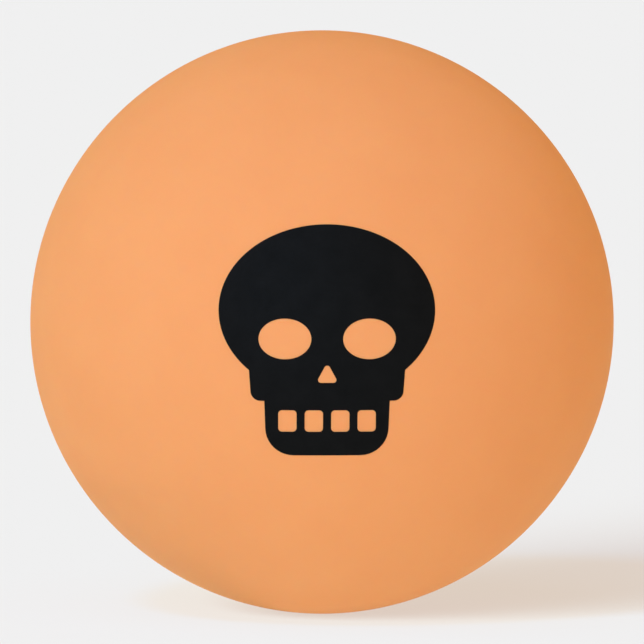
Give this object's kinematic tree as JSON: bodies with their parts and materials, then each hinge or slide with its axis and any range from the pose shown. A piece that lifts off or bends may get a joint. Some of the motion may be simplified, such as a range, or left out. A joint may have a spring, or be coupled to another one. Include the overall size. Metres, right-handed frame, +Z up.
{
  "type": "table tennis ball",
  "caption": "Hollow matte orange plastic table tennis ball, made of half shells cemented in a lap joint, with a plain dark skull emblem printed on the front.",
  "frame": {"origin": "centre of the ball", "axes": "+Z up; Y is the seam's axis, with the seam in the XZ plane and the printed emblem round the pole at -Y, its top towards +Z; +X to the right of someone who faces the emblem"},
  "size_m": [0.04, 0.0401, 0.04],
  "materials": {
    "orange_plastic": "matte",
    "clear_cement": "satin",
    "black_ink": "matte"
  },
  "bodies": {
    "root": {"front_half_shell": "orange_plastic", "rear_half_shell": "orange_plastic", "seam_cement": "clear_cement", "printed_emblem": "black_ink"}
  },
  "joints": []
}
